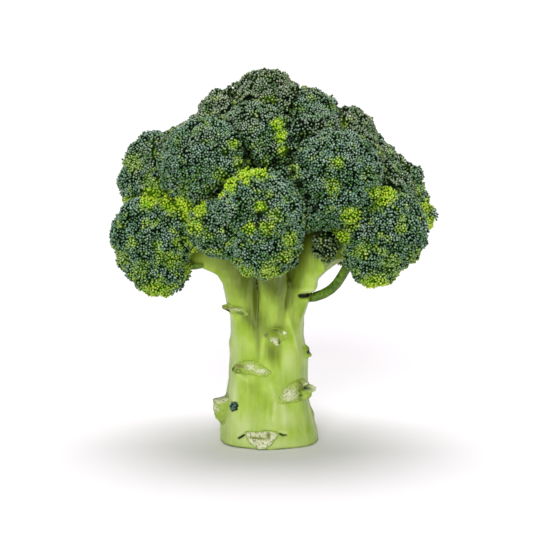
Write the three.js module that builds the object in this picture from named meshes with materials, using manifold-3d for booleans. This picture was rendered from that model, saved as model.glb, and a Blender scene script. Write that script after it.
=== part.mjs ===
// A broccoli head, cut square at the foot and standing on the cut.
// One thick stalk forks into stems, and each stem ends in a domed floret of flower buds.
// Short stubs are left on the stalk where leaves were trimmed off.
// Millimetres, +Z up, -Y is the front. The origin is the centre of the flat cut.

import * as THREE from 'three';
import { mergeVertices } from 'three/addons/utils/BufferGeometryUtils.js';
import Module from 'manifold-3d';

const wasm = await Module();
wasm.setup();

// ---------- driving dimensions ----------

const gap = 0.3; // clearance between pieces that touch
const stalkSides = 28; // facets round the stalk
const stemSides = 7; // facets round a stem
const stemFacet = 12; // length of a facet along a stem
const shootSides = 8; // facets round a side shoot
const shootSteps = 9; // facets along a side shoot
const domeFacet = 9.5; // width of a facet round a floret's dome
const domeSteps = 3; // facets from a dome's crown to its widest ring
// Behind its widest ring a dome narrows to the branchlets that carry it: [radius, depth] in dome radii.
const flank = [[1.02, 0.45], [0.6, 1.05]];
const fluteDepth = 0.5; // ribs that run up the stalk
const fluteCount = 7;
const stemReach = 0.35; // how far short of a dome's centre its stem stops, in dome radii
const stemLead = 0.38; // share of a stem's length that runs up beside the stalk
const rootShare = 0.6; // how far up its stem a floret's branchlets spring from

// Stalk, from the cut foot to the tip inside the crown.
const stalkProfile = [
  { height: 0, centre: 0.0, halfWidth: 23.5, halfDepth: 20.6 },
  { height: 5, centre: -0.7, halfWidth: 22.8, halfDepth: 20.6 },
  { height: 12, centre: -1.3, halfWidth: 21.2, halfDepth: 20.0 },
  { height: 20, centre: -1.4, halfWidth: 19.6, halfDepth: 18.9 },
  { height: 30, centre: -0.9, halfWidth: 18.3, halfDepth: 17.9 },
  { height: 41, centre: -0.7, halfWidth: 17.9, halfDepth: 17.4 },
  { height: 51, centre: -1.5, halfWidth: 17.0, halfDepth: 16.8 },
  { height: 60, centre: -1.4, halfWidth: 17.0, halfDepth: 16.6 },
  { height: 69, centre: -0.8, halfWidth: 16.9, halfDepth: 16.2 },
  { height: 81, centre: 0.0, halfWidth: 15.2, halfDepth: 15.0 },
  { height: 95, centre: 0.0, halfWidth: 12.8, halfDepth: 12.8 },
  { height: 109, centre: 0.0, halfWidth: 10.4, halfDepth: 10.4 },
  { height: 117, centre: 0.0, halfWidth: 7.6, halfDepth: 7.6 },
];
const stalkTip = 121;

// Florets. A lobe is [x, y, z, radius] of one dome of buds.
// The stem leaves its foot upwards, footRadius thick, and runs into the first lobe, headRadius thick.
// via holds the points that it bends through.
const florets = [
  {
    name: 'crown_top',
    lobes: [[-2.5, 0, 160.2, 17.1], [6.6, 6, 155.6, 15]],
    foot: [0, 0, 109], footRadius: 8.5, headRadius: 7.5,
  },
  {
    name: 'crown_left',
    lobes: [[-19.4, 3, 152.8, 16], [-32.2, 5, 142.4, 13], [-40, -7, 138.8, 12.6]],
    foot: [-4, 0, 103], footRadius: 7, headRadius: 6,
  },
  {
    name: 'crown_right',
    lobes: [[17.8, 0, 153, 15.9], [25.4, 4, 144.4, 13], [21, -15, 145, 14]],
    foot: [4, 0, 103], footRadius: 7, headRadius: 6,
  },
  {
    name: 'crown_front',
    lobes: [[-6, -22, 149, 15], [2, -27, 139, 14], [-20, -17, 145, 12]],
    foot: [-1, -5, 107], footRadius: 6, headRadius: 5,
  },
  {
    name: 'front_upper_left',
    lobes: [[-29, -29, 137.5, 19], [-38, -22, 135, 14], [-30, -29, 123, 13]],
    foot: [-9.5, -4, 55], via: [[-13.5, -6, 70], [-16, -9, 83], [-21, -17, 103]],
    footRadius: 7.6, headRadius: 6.5,
  },
  {
    name: 'front_upper_right',
    lobes: [[30, -31, 130, 21.3], [20, -34, 118, 12], [6, -33, 126, 13]],
    foot: [8, -5, 57], via: [[12.3, -8, 71], [15, -10.5, 79], [20.5, -14, 91], [25, -21, 105]],
    footRadius: 6.8, headRadius: 6.8,
  },
  {
    name: 'front_centre',
    lobes: [[-4.5, -47, 115.5, 19.3], [-2.5, -48, 101.5, 16], [-24.5, -43, 108, 13]],
    foot: [0.5, -6, 51], via: [[1.5, -10.5, 69], [0.5, -15, 83], [-2, -28, 97]],
    footRadius: 8.6, headRadius: 7,
  },
  {
    name: 'left_lower',
    lobes: [[-55.8, -18, 101.4, 18.3], [-58.2, -19, 93, 13.6], [-52.2, -20, 85.4, 13.1], [-41, -20, 108, 12]],
    foot: [-15.5, -7.5, 76.6], via: [[-22, -10, 86.9], [-33, -13.5, 91.6]],
    footRadius: 6, headRadius: 5,
  },
  {
    name: 'left_upper',
    lobes: [[-52.8, 6, 133.6, 14.7], [-57.8, 5, 131, 12.6], [-57, 5, 123, 15.2], [-49, -9, 120, 12]],
    foot: [-9, 1, 83], footRadius: 6, headRadius: 5,
  },
  {
    name: 'right_lower',
    lobes: [[53.6, -25, 104.2, 19.2], [49, -26, 89.4, 12.2], [40, -26, 108, 11]],
    foot: [17, -11, 82.4], via: [[26, -15, 93], [36, -19, 97]],
    footRadius: 4.2, headRadius: 4.6,
  },
  {
    name: 'right_upper',
    lobes: [[37.3, 4, 147.1, 12.4], [40.4, -13, 137, 12.6]],
    foot: [6, 1, 97], footRadius: 5.5, headRadius: 4.6,
  },
  {
    name: 'right_shoulder',
    lobes: [[52.6, 7, 131.2, 10.9], [54, -7, 121, 13]],
    foot: [8, 3, 89], footRadius: 5, headRadius: 4,
  },
  {
    name: 'right_outer',
    lobes: [[63.8, 12, 120, 11.3], [66.8, 10, 107, 11.6], [65.2, 11, 126.8, 7]],
    foot: [10, 4, 79], footRadius: 5.5, headRadius: 4.5,
  },
  {
    name: 'front_recess',
    lobes: [[26, -24, 99, 8]],
    foot: [19.5, -14.5, 82], via: [[24.5, -21, 88.5]],
    footRadius: 3, headRadius: 2.6,
  },
  {
    name: 'back_crown_left',
    lobes: [[-14, 24, 150, 16.5], [-25, 26, 143, 12]],
    foot: [-3, 4, 103], footRadius: 6.5, headRadius: 5.5,
  },
  {
    name: 'back_crown_right',
    lobes: [[16, 25, 149, 16.5], [28, 24, 143, 12.5]],
    foot: [4, 5, 101], footRadius: 6.5, headRadius: 5.5,
  },
  {
    name: 'back_upper_left',
    lobes: [[-38, 36, 128, 18], [-49, 32, 120, 13], [-45, 18, 135, 13], [-21, 47, 116, 13]],
    foot: [-7, 6, 85], footRadius: 6.5, headRadius: 5.5,
  },
  {
    name: 'back_upper',
    lobes: [[2, 44, 130, 19], [-6, 49, 120, 13], [1, 35, 142, 12]],
    foot: [0, 8, 89], footRadius: 7, headRadius: 6,
  },
  {
    name: 'back_upper_right',
    lobes: [[39, 37, 126, 18.5], [49, 32, 118, 13], [45, 19, 136, 12], [22, 49, 115, 13]],
    foot: [8, 7, 85], footRadius: 6.5, headRadius: 5.5,
  },
  {
    name: 'back_lower_left',
    lobes: [[-47, 37, 101, 18], [-59, 14, 99, 12.5], [-31, 50, 98, 13], [-56, 22, 112, 12]],
    foot: [-9.5, 7, 65], footRadius: 7.5, headRadius: 6,
  },
  {
    name: 'back_lower',
    lobes: [[-3, 57, 101, 18.5], [10, 54, 93, 12.5]],
    foot: [0, 9, 59], footRadius: 8, headRadius: 6,
  },
  {
    name: 'back_lower_right',
    lobes: [[45, 37, 100, 18.5], [54, 27, 92, 12.5], [27, 51, 98, 13], [57, 24, 108, 12.5]],
    foot: [10, 8, 65], footRadius: 7.5, headRadius: 6,
  },
];

// Stubs of trimmed leaves. angle turns round the stalk in degrees, 0 at the front and positive to the right.
// out moves a stub's middle off the stalk's skin, on to a stem.
// size is its width, its height and how far it stands out, and rise tips its outer end up.
const leafStubs = [
  { name: 'leaf_stub_upper_left', angle: -54, height: 65.1, out: 3.2, size: [19, 6, 2.8], rise: 0 },
  { name: 'leaf_stub_centre', angle: 15, height: 54, out: 0, size: [15.4, 9.4, 2.2], rise: 10 },
  { name: 'leaf_stub_mid_left', angle: -29, height: 36.5, out: 0, size: [24, 8, 1.8], rise: 0 },
  { name: 'leaf_stub_mid_right', angle: 45, height: 26, out: 0, size: [22, 11, 3.9], rise: 15 },
  { name: 'leaf_stub_lower_left', angle: -84, height: 15.5, out: 0, size: [10, 12, 6.4], rise: 20 },
  { name: 'leaf_stub_foot', angle: -8, height: 5.8, out: 0, size: [15.5, 7.8, 1.6], rise: 0 },
  { name: 'leaf_stub_right', angle: 84, height: 43, out: 0, size: [7, 5.4, 2.4], rise: 0 },
  { name: 'leaf_stub_back_right', angle: 140, height: 55, out: 0.5, size: [16, 7, 2.4], rise: 8 },
  { name: 'leaf_stub_back_left', angle: -150, height: 27, out: 0, size: [18, 8, 3], rise: 12 },
];

// Small growths: a dormant bud in a leaf axil, and two side shoots.
const axilBud = { name: 'axil_bud', angle: -49, height: 19, out: 0, size: [5.4, 5.6, 2.4], rise: 25 };
const sideShoots = [
  {
    name: 'side_shoot_right',
    path: [[13, -6, 70], [22, -8.5, 70.9], [29.4, -10, 75], [34.7, -13, 83], [38.1, -18, 91.5]],
    radii: [2.5, 2.4],
  },
  {
    name: 'side_shoot_left',
    path: [[-31.5, -15, 87.6], [-36, -16, 86.8], [-42, -17.5, 88.3], [-46, -18, 91.2]],
    radii: [2.4, 2.1],
  },
];

const colours = {
  stalk: 0xa9c860,
  stem: 0xa2c455,
  stub: 0xc3d08e,
  shoot: 0x6f9a35,
  axilBud: 0x3c5f4e,
  buds: 0x4c6a4b,
};

// ---------- solids ----------

const up = new THREE.Vector3(0, 0, 1);

function toSolid(geometry) {
  geometry.deleteAttribute('normal');
  geometry.deleteAttribute('uv');
  const merged = mergeVertices(geometry, 1e-4);
  return new wasm.Manifold(new wasm.Mesh({
    numProp: 3,
    vertProperties: new Float32Array(merged.attributes.position.array),
    triVerts: new Uint32Array(merged.index.array),
  }));
}

function toMesh(name, solid, colour, roughness) {
  const { vertProperties, triVerts } = solid.getMesh();
  const geometry = new THREE.BufferGeometry();
  geometry.setAttribute('position', new THREE.BufferAttribute(new Float32Array(vertProperties), 3));
  geometry.setIndex(new THREE.BufferAttribute(new Uint32Array(triVerts), 1));
  geometry.computeVertexNormals();
  const material = new THREE.MeshStandardMaterial({ color: colour, roughness, metalness: 0 });
  const mesh = new THREE.Mesh(geometry, material);
  mesh.name = name;
  return mesh;
}

// The biggest body of a solid that a cut may have left in several.
function largest(solid) {
  const bodies = solid.decompose();
  return bodies.reduce((best, body) => (body.volume() > best.volume() ? body : best));
}

// A body of revolution along t = 0 to 1, laid over a curve: radiusAt(t) is its radius along the way.
function tube(curve, radiusAt, sides, steps) {
  const profile = [new THREE.Vector2(0, 0)];
  for (let i = 0; i <= steps; i += 1) {
    profile.push(new THREE.Vector2(1, i));
  }
  profile.push(new THREE.Vector2(0, steps));
  const geometry = new THREE.LatheGeometry(profile, sides);
  const frames = curve.computeFrenetFrames(steps);
  const position = geometry.attributes.position;
  const point = new THREE.Vector3();
  for (let i = 0; i < position.count; i += 1) {
    const step = Math.round(position.getY(i));
    const radius = radiusAt(step / steps);
    point.copy(curve.getPointAt(step / steps));
    point.addScaledVector(frames.normals[step], position.getZ(i) * radius);
    point.addScaledVector(frames.binormals[step], position.getX(i) * radius);
    position.setXYZ(i, point.x, point.y, point.z);
  }
  return toSolid(geometry);
}

// ---------- stalk ----------

function ringAt(height) {
  const upper = Math.max(1, stalkProfile.findIndex((ring) => ring.height >= height));
  const b = stalkProfile[upper];
  const a = stalkProfile[upper - 1];
  const t = (height - a.height) / (b.height - a.height);
  const mix = (key) => THREE.MathUtils.lerp(a[key], b[key], t);
  return { centre: mix('centre'), halfWidth: mix('halfWidth'), halfDepth: mix('halfDepth') };
}

// Point on the stalk's skin; angle 0 is the front, positive to the right.
function skinPoint(angle, ring, height, grow) {
  const flute = fluteDepth * Math.cos(fluteCount * angle);
  const x = ring.centre + (ring.halfWidth + flute + grow) * Math.sin(angle);
  const y = -(ring.halfDepth + flute + grow) * Math.cos(angle);
  return new THREE.Vector3(x, y, height);
}

function stalkSolid(grow) {
  const profile = [new THREE.Vector2(0, 0)];
  stalkProfile.forEach((ring, i) => profile.push(new THREE.Vector2(1, i)));
  profile.push(new THREE.Vector2(0, stalkProfile.length));
  const geometry = new THREE.LatheGeometry(profile, stalkSides);
  const position = geometry.attributes.position;
  for (let i = 0; i < position.count; i += 1) {
    const level = Math.round(position.getY(i));
    const onAxis = Math.hypot(position.getX(i), position.getZ(i)) < 0.5;
    if (onAxis) {
      const atTip = level === stalkProfile.length;
      const centre = stalkProfile[atTip ? level - 1 : 0].centre;
      position.setXYZ(i, centre, 0, atTip ? stalkTip + grow : -grow);
    } else {
      const ring = stalkProfile[level];
      const angle = Math.atan2(position.getX(i), position.getZ(i));
      const height = level === 0 ? -grow : ring.height;
      const point = skinPoint(angle, ring, height, grow);
      position.setXYZ(i, point.x, point.y, point.z);
    }
  }
  return toSolid(geometry);
}

// ---------- stems, shoots and stubs ----------

// A stem leaves the stalk upwards and arrives along the floret's own axis, or runs through its via points.
function stemCurve(floret) {
  const foot = new THREE.Vector3(...floret.foot);
  const [x, y, z, radius] = floret.lobes[0];
  const centre = new THREE.Vector3(x, y, z);
  const outward = centre.clone().sub(foot).normalize();
  const head = centre.clone().addScaledVector(outward, -radius * stemReach);
  if (floret.via) {
    const middle = floret.via.map((point) => new THREE.Vector3(...point));
    return new THREE.CatmullRomCurve3([foot, ...middle, head]);
  }
  const length = foot.distanceTo(head);
  const lift = foot.clone().addScaledVector(up, length * stemLead);
  const arrive = head.clone().addScaledVector(outward, -length * stemLead);
  return new THREE.CubicBezierCurve3(foot, lift, arrive, head);
}

function stemSolid(floret, grow) {
  const radiusAt = (t) => THREE.MathUtils.lerp(floret.footRadius, floret.headRadius, t) + grow;
  const curve = stemCurve(floret);
  return tube(curve, radiusAt, stemSides, Math.round(curve.getLength() / stemFacet));
}

function shootSolid(shoot, grow) {
  const points = shoot.path.map((point) => new THREE.Vector3(...point));
  const curve = new THREE.CatmullRomCurve3(points);
  const radiusAt = (t) => THREE.MathUtils.lerp(shoot.radii[0], shoot.radii[1], t) + grow;
  return tube(curve, radiusAt, shootSides, shootSteps);
}

// An ellipsoid set into the stalk's skin, its outer end tipped up.
function stubSolid(stub, grow) {
  const angle = THREE.MathUtils.degToRad(stub.angle);
  const point = skinPoint(angle, ringAt(stub.height), stub.height, stub.out);
  const [width, tall, proud] = stub.size;
  const geometry = new THREE.IcosahedronGeometry(1, 1);
  geometry.scale(width / 2 + grow, proud + grow, tall / 2 + grow);
  geometry.rotateX(-THREE.MathUtils.degToRad(stub.rise));
  geometry.rotateZ(angle);
  geometry.translate(point.x, point.y, point.z);
  return toSolid(geometry);
}

// ---------- florets ----------

// One lobe: a dome of buds facing outward, narrowing behind to the branchlets that carry it.
function lobeSolid([x, y, z, radius], outward) {
  const profile = [new THREE.Vector2(0, -flank.at(-1)[1] * radius)];
  for (const [width, depth] of [...flank].reverse()) {
    profile.push(new THREE.Vector2(width * radius, -depth * radius));
  }
  for (let i = 0; i < domeSteps; i += 1) {
    const angle = (Math.PI / 2) * (i / domeSteps);
    profile.push(new THREE.Vector2(radius * Math.cos(angle), radius * Math.sin(angle)));
  }
  profile.push(new THREE.Vector2(0, radius));
  const sides = Math.round((2 * Math.PI * radius) / domeFacet);
  const geometry = new THREE.LatheGeometry(profile, sides);
  geometry.applyQuaternion(new THREE.Quaternion().setFromUnitVectors(new THREE.Vector3(0, 1, 0), outward));
  geometry.translate(x, y, z);
  return toSolid(geometry);
}

// Keeps the part of a lobe on its own side of the plane where it meets a neighbouring lobe's sphere.
function trimAgainst(solid, lobe, other) {
  const from = new THREE.Vector3(lobe[0], lobe[1], lobe[2]);
  const to = new THREE.Vector3(other[0], other[1], other[2]);
  const distance = from.distanceTo(to);
  const along = (distance ** 2 + lobe[3] ** 2 - other[3] ** 2) / (2 * distance) - gap / 2;
  const inward = from.clone().sub(to).divideScalar(distance);
  return solid.trimByPlane(inward.toArray(), inward.dot(from) - along);
}

function floretSolid(floret) {
  const strangers = florets.filter((other) => other !== floret).flatMap((other) => other.lobes);
  const root = stemCurve(floret).getPointAt(rootShare);
  const lobes = floret.lobes.map((lobe) => {
    const outward = new THREE.Vector3(lobe[0], lobe[1], lobe[2]).sub(root).normalize();
    return strangers.reduce((solid, other) => trimAgainst(solid, lobe, other), lobeSolid(lobe, outward));
  });
  return lobes.reduce((whole, lobe) => whole.add(lobe));
}

// ---------- assembly ----------

const broccoli = new THREE.Group();
broccoli.name = 'broccoli_head';

broccoli.add(toMesh('main_stalk', stalkSolid(0), colours.stalk, 0.45));

// What is already in place, grown by the clearance: each later piece is cut back from it.
let taken = stalkSolid(gap);

for (const floret of florets) {
  const solid = largest(stemSolid(floret, 0).subtract(taken));
  broccoli.add(toMesh(`stem_${floret.name}`, solid, colours.stem, 0.45));
  taken = taken.add(stemSolid(floret, gap));
}

for (const shoot of sideShoots) {
  const solid = largest(shootSolid(shoot, 0).subtract(taken));
  broccoli.add(toMesh(shoot.name, solid, colours.shoot, 0.4));
  taken = taken.add(shootSolid(shoot, gap));
}

for (const stub of [...leafStubs, axilBud]) {
  const solid = largest(stubSolid(stub, 0).subtract(taken));
  const colour = stub === axilBud ? colours.axilBud : colours.stub;
  broccoli.add(toMesh(stub.name, solid, colour, 0.55));
  taken = taken.add(stubSolid(stub, gap));
}

for (const floret of florets) {
  const solid = largest(floretSolid(floret).subtract(taken));
  broccoli.add(toMesh(`floret_${floret.name}`, solid, colours.buds, 0.8));
}

export default broccoli;
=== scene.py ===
import math

import bmesh
import bpy
import numpy as np
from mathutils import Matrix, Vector, noise
from mathutils.bvhtree import BVHTree
from mathutils.kdtree import KDTree


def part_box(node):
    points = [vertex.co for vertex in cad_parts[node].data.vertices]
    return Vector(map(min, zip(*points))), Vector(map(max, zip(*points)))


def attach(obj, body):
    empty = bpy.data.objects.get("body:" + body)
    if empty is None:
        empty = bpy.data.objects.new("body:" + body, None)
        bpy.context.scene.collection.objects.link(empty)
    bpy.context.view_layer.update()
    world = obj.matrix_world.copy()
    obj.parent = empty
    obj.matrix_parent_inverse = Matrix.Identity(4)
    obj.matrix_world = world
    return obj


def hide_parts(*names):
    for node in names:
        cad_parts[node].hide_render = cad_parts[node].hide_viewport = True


# A broccoli head standing on its cut stalk. Shapes are worked out in millimetres and go to Blender in
# metres.

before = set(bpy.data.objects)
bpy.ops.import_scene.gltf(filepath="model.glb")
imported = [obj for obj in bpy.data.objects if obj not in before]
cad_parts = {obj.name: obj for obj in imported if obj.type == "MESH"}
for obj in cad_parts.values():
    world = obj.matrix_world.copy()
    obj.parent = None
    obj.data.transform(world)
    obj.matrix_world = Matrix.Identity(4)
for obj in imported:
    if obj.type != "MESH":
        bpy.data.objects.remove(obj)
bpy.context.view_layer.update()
mm = 0.001
tiny = 1e-9
golden = math.pi * (3 - math.sqrt(5))
rng = np.random.default_rng(20)
floretNodes = sorted(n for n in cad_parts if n.startswith("floret_"))
stemNodes = sorted(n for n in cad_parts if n.startswith("stem_"))


def unit(v):
    return v / np.maximum(np.linalg.norm(v, axis=-1, keepdims=True), tiny)


# 0 before the start and 1 after the end, and the other way round where the start is the greater.
def smoothStep(start, end, x):
    t = np.clip((x - start) / (end - start), 0, 1)
    return t * t * (3 - 2 * t)


def bell(x, middle, half):
    return np.exp(-((x - middle) / half) ** 2)


# Smooth noise from -1 to 1, in features of about this many millimetres.
def softNoise(points, size, shift=0.0):
    scaled = np.asarray(points) / size + shift
    return np.array([noise.noise(Vector(p)) for p in scaled.tolist()])


# Layers of noise, each as how much, its size, how far it is drawn out upwards, and its shift.
def layered(points, layers):
    return sum(much * softNoise(points * [1, 1, rise], size, shift) for much, size, rise, shift in layers)


def vectorsOf(items, name):
    values = np.empty(len(items) * 3, np.float32)
    items.foreach_get(name, values)
    return values.reshape(-1, 3).astype(float)


def pointsOf(mesh):
    return vectorsOf(mesh.vertices, "co") / mm


def normalsOf(mesh):
    return vectorsOf(mesh.vertex_normals, "vector")


def facesOf(mesh):
    return [tuple(face.vertices) for face in mesh.polygons]


def setPoints(mesh, points):
    mesh.vertices.foreach_set("co", (points * mm).astype(np.float32).ravel())
    mesh.update()


def setValues(mesh, **layers):
    for name, values in layers.items():
        layer = mesh.attributes.new(name, "FLOAT", "POINT")
        layer.data.foreach_set("value", np.asarray(values, np.float32))


def boxOf(node):
    return (np.array(corner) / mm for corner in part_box(node))


# A search tree over some meshes, without the many-sided face that closes the stalk's foot.
def treeOf(*meshes):
    points, faces, shift = [], [], 0
    for mesh in meshes:
        points.append(pointsOf(mesh))
        faces += [tuple(i + shift for i in face) for face in facesOf(mesh) if len(face) < 5]
        shift += len(points[-1])
    return BVHTree.FromPolygons(np.vstack(points).tolist(), faces)


def meshFrom(points, faces):
    mesh = bpy.data.meshes.new("mesh")
    mesh.from_pydata((np.asarray(points) * mm).tolist(), [], faces)
    mesh.update()
    return mesh


def addObject(name, data):
    thing = bpy.data.objects.new(name, data)
    bpy.context.scene.collection.objects.link(thing)
    return thing


def addPiece(name, mesh, materials, nodes=()):
    mesh.name = name
    for material in materials:
        mesh.materials.append(material)
    mesh.polygons.foreach_set("use_smooth", np.ones(len(mesh.polygons), bool))
    piece = addObject(name, mesh)
    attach(piece, "root")
    if nodes:
        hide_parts(*nodes)


def withModifiers(mesh, modifiers, chosen=None):
    piece = addObject("work", mesh)
    if chosen is not None:
        group = piece.vertex_groups.new(name="part")
        group.add(np.flatnonzero(chosen).tolist(), 1, "REPLACE")
    for kind, settings in modifiers:
        modifier = piece.modifiers.new(kind, kind)
        for key, value in settings.items():
            setattr(modifier, key, value)
    shaped = piece.evaluated_get(bpy.context.evaluated_depsgraph_get())
    result = bpy.data.meshes.new_from_object(shaped)
    bpy.data.objects.remove(piece)
    return result


meltShape = {"seam": 0.001, "footLevel": 0.05, "softening": 0.5}


# CAD solids in one mesh, their seams closed and their corners softened as flesh is.
def melted(nodes, voxel, swell, rounds, deeperFoot=0.0):
    s = meltShape
    joined = bmesh.new()
    for node in nodes:
        joined.from_mesh(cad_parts[node].data)
    bmesh.ops.remove_doubles(joined, verts=joined.verts, dist=s["seam"] * mm)
    for vertex in joined.verts:
        if vertex.co.z < s["footLevel"] * mm:
            vertex.co.z -= deeperFoot * mm
    mesh = bpy.data.meshes.new("joined")
    joined.to_mesh(mesh)
    joined.free()
    return withModifiers(mesh, [
        ("DISPLACE", {"strength": swell * mm, "mid_level": 0}),
        ("REMESH", {"mode": "VOXEL", "voxel_size": voxel * mm}),
        ("SMOOTH", {"factor": s["softening"], "iterations": rounds}),
    ])


def linear(hexColour):
    parts = [int(hexColour[i:i + 2], 16) / 255 for i in (1, 3, 5)]
    return (*[c / 12.92 if c <= 0.04045 else ((c + 0.055) / 1.055) ** 2.4 for c in parts], 1)


# A new material, its constants set on the shader's own sockets.
def newMaterial(name, constants):
    material = bpy.data.materials.new(name)
    material.use_nodes = True
    shader = material.node_tree.nodes["Principled BSDF"]
    for socket, value in constants.items():
        shader.inputs[socket].default_value = value
    return material, material.node_tree, shader


# Adds a node with its settings and links, and gives the output that is used of it.
def addNode(tree, kind, output, inputs=None, **settings):
    node = tree.nodes.new("ShaderNode" + kind)
    for key, value in settings.items():
        setattr(node, key, value)
    for key, value in (inputs or {}).items():
        if isinstance(value, bpy.types.NodeSocket):
            tree.links.new(value, node.inputs[key])
        else:
            node.inputs[key].default_value = value
    return node.outputs[output]


# The colour sockets of a mix node go by number, because its sockets share their names.
mixShare, mixFrom, mixTo, mixResult = 0, 6, 7, 2
# Most of what a noise texture gives lies between these.
noiseSpan = {"From Min": 0.35, "From Max": 0.65}


# The shader's scale for a pattern whose features are this many millimetres across.
def scaleFor(size):
    return 1 / (size * mm)


# Waxy skin of a fresh stalk. The wax gives wide satin highlights over moist flesh that glows a little at
# its edges. Real fibres are 0.3 mm wide, and are drawn 1.4 mm wide so that they can be seen.
# Pale and deep carry painted light and shade as well as the skin's own mottling. The dried colour marks the
# dried cut edge, and also paints a contact shadow there and near-black shade in slits and among the stems
# in the crown.
stalkSkinLook = {
    "green": "#93b428",
    "light": "#acc84a",
    "pale": "#c8d890",
    "deep": "#5a6a00",
    "fibre": "#c6d88a",
    "dried": "#0c1405",
    "cloudSize": 9,
    "fibreWidth": 1.4,
    "fibreDrawnOut": 0.07,
    "fibreSpan": {"From Min": 0.45, "From Max": 0.75, "To Max": 0.18},
    "fibreBump": {"Strength": 0.3, "Distance": 0.4 * mm},
    "roughness": {"To Min": 0.36, "To Max": 0.8},
    "constants": {
        "IOR": 1.4,
        "Subsurface Weight": 0.1,
        "Subsurface Radius": (2 * mm, 2.5 * mm, 0.8 * mm),
        "Subsurface Scale": 1.0,
    },
}


def stalkSkinMaterial():
    look = stalkSkinLook
    material, tree, shader = newMaterial("waxy_stalk_skin", look["constants"])
    place = addNode(tree, "TexCoord", "Object")
    drawnOut = {"Vector": place, "Scale": (1, 1, look["fibreDrawnOut"])}
    upwards = addNode(tree, "Mapping", 0, drawnOut)
    fine = {"Vector": upwards, "Scale": scaleFor(look["fibreWidth"]), "Detail": 4}
    fibres = addNode(tree, "TexNoise", 0, fine)
    broad = {"Vector": place, "Scale": scaleFor(look["cloudSize"]), "Detail": 3}
    clouds = addNode(tree, "TexNoise", 0, broad)
    shares = {
        "light": addNode(tree, "MapRange", 0, {"Value": clouds, **noiseSpan}),
        "pale": addNode(tree, "Attribute", "Fac", attribute_name="pale"),
        "deep": addNode(tree, "Attribute", "Fac", attribute_name="deep"),
        "fibre": addNode(tree, "MapRange", 0, {"Value": fibres, **look["fibreSpan"]}),
        "dried": addNode(tree, "Attribute", "Fac", attribute_name="crease"),
    }
    colour = linear(look["green"])
    for name, share in shares.items():
        mix = {mixShare: share, mixFrom: colour, mixTo: linear(look[name])}
        colour = addNode(tree, "Mix", mixResult, mix, data_type="RGBA")
    tree.links.new(colour, shader.inputs["Base Color"])
    bump = addNode(tree, "Bump", 0, {"Height": fibres, **look["fibreBump"]})
    tree.links.new(bump, shader.inputs["Normal"])
    roughness = addNode(tree, "MapRange", 0, {"Value": shares["dried"], **look["roughness"]})
    tree.links.new(roughness, shader.inputs["Roughness"])
    return material


# A smooth material of layers over a colour, each shown by the clouds or by a value that the piece carries.
def layeredMaterial(name, look):
    material, tree, shader = newMaterial(name, look["constants"])
    colour = linear(look["colour"])
    for value, span, shade in look["layers"]:
        if value == "clouds":
            place = addNode(tree, "TexCoord", "Object")
            share = addNode(tree, "TexNoise", 0, {"Vector": place, **look["clouds"]})
        else:
            share = addNode(tree, "Attribute", "Fac", attribute_name=value)
        if span:
            share = addNode(tree, "MapRange", 0, {"Value": share, **span})
        mix = {mixShare: share, mixFrom: colour, mixTo: linear(shade)}
        colour = addNode(tree, "Mix", mixResult, mix, data_type="RGBA")
    tree.links.new(colour, shader.inputs["Base Color"])
    return material


# Skin of the branchlets inside the crown. The same waxy skin, painted a deeper green as the shade inside
# the crown.
branchletLook = {
    "colour": "#6d8f20",
    "layers": [("clouds", noiseSpan, "#a9bf5a")],
    "clouds": {"Scale": scaleFor(4), "Detail": 2},
    "constants": {"Roughness": 0.4, "IOR": 1.4},
}
# Skin of a young side shoot. Smooth, deeper green than the stalk, with a soft highlight along it.
shootLook = {
    "colour": "#33520a",
    "layers": [("clouds", noiseSpan, "#608218")],
    "clouds": {"Scale": scaleFor(2), "Detail": 3},
    "constants": {"Roughness": 0.35, "IOR": 1.4},
}
# Flesh under the buds. Dull, and painted a near-black dark green as shade in the gaps between the buds;
# brighter under young ones, pale green on a floret's bare underside.
bedLook = {
    "colour": "#051203",
    "layers": [("young", None, "#4c7808"), ("bare", None, "#2f4c12")],
    "constants": {"Roughness": 0.85, "Specular IOR Level": 0.1},
}
# Scales of a dormant bud. Dark blue green, paler on their tips as a painted highlight that shows each
# scale.
axilLook = {
    "colour": "#0a1a10",
    "layers": [("tip", {"From Min": 0.5, "From Max": 1.0}, "#5a8470")],
    "constants": {"Roughness": 0.4},
}


# Closed flower buds. Bluish wax on their tips makes them grey green and dull. Each bud is pale at its tip,
# partly as a painted highlight, and near black at its foot as painted shade between the buds; some carry a
# small soft painted glint, and buds in clefts and hollows are painted near black as shade.
# Where the sun hasn't reached they have none and are a bright yellow green. A span: the value that it
# follows, from where to where on it, and from how much to how much it rises.
budLook = {
    "green": ("#244f1c", "#61a048"),
    "wax": ("#aed5d0", "#d8d0bc"),
    "glint": "#e4efec",
    "yellow": ("#94d414", "#f4ff50"),
    "foot": ("#071a03", "#6a980a"),
    "dullFoot": "#42462c",
    "hidden": "#040c02",
    "spans": {
        "glint": ("luck", 0.55, 1.0, 0.0, 0.8),
        "waxy": ("tip", 0.52, 1.0, 0.0, 1.0),
        "dullFoot": ("dull", 0.4, 1.0, 0.0, 0.8),
        "aboveFoot": ("tip", 0.42, 0.95, 0.0, 1.0),
        "shine": ("tip", 0.4, 0.9, 0.1, 0.5),
    },
    "constants": {"Roughness": 0.32, "IOR": 1.45},
}


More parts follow.
